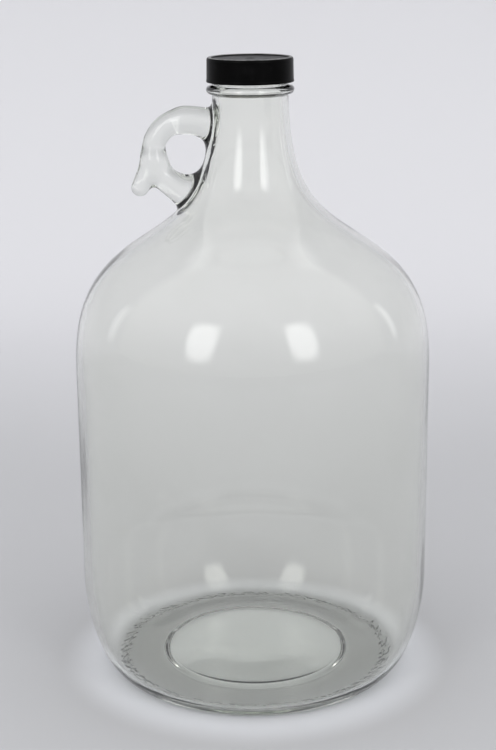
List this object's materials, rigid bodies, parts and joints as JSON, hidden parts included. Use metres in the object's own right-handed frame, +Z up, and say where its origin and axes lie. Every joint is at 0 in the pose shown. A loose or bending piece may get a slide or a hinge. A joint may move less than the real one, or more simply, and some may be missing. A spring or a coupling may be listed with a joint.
{
  "type": "glass carboy",
  "caption": "Clear glass jug for fermenting, with a rounded shoulder, a finger ring beside the neck and a black screw cap with a sealing disc.",
  "frame": {"origin": "centre of the jug's base, in the plane that it stands on", "axes": "+Z up along the jug's and the cap's axis, finger ring towards -X"},
  "size_m": [0.1672, 0.1672, 0.2937],
  "materials": {
    "clear_glass": "polished clear glass, faint green-grey tint",
    "black_plastic": "satin moulded black plastic",
    "liner_foam": "off-white foam sheet with a smooth film face"
  },
  "bodies": {
    "jug": {"glass_jug": "clear_glass"},
    "liner_carrier": {"cap_liner": "liner_foam"},
    "cap": {"screw_cap": "black_plastic"}
  },
  "joints": [
    {"name": "cap_lift", "type": "slide", "parent": "jug", "child": "liner_carrier", "axis": [0, 0, 1], "range_m": [0, 0.014]},
    {"name": "cap_turn", "type": "hinge", "parent": "liner_carrier", "child": "cap", "pos_m": [0, 0, 0.2903], "axis": [0, 0, 1], "range_deg": [0, 1170]}
  ],
  "couplings": [
    {"joint": "cap_lift", "follows": "cap_turn", "m_per_rad": 0.0006737}
  ]
}
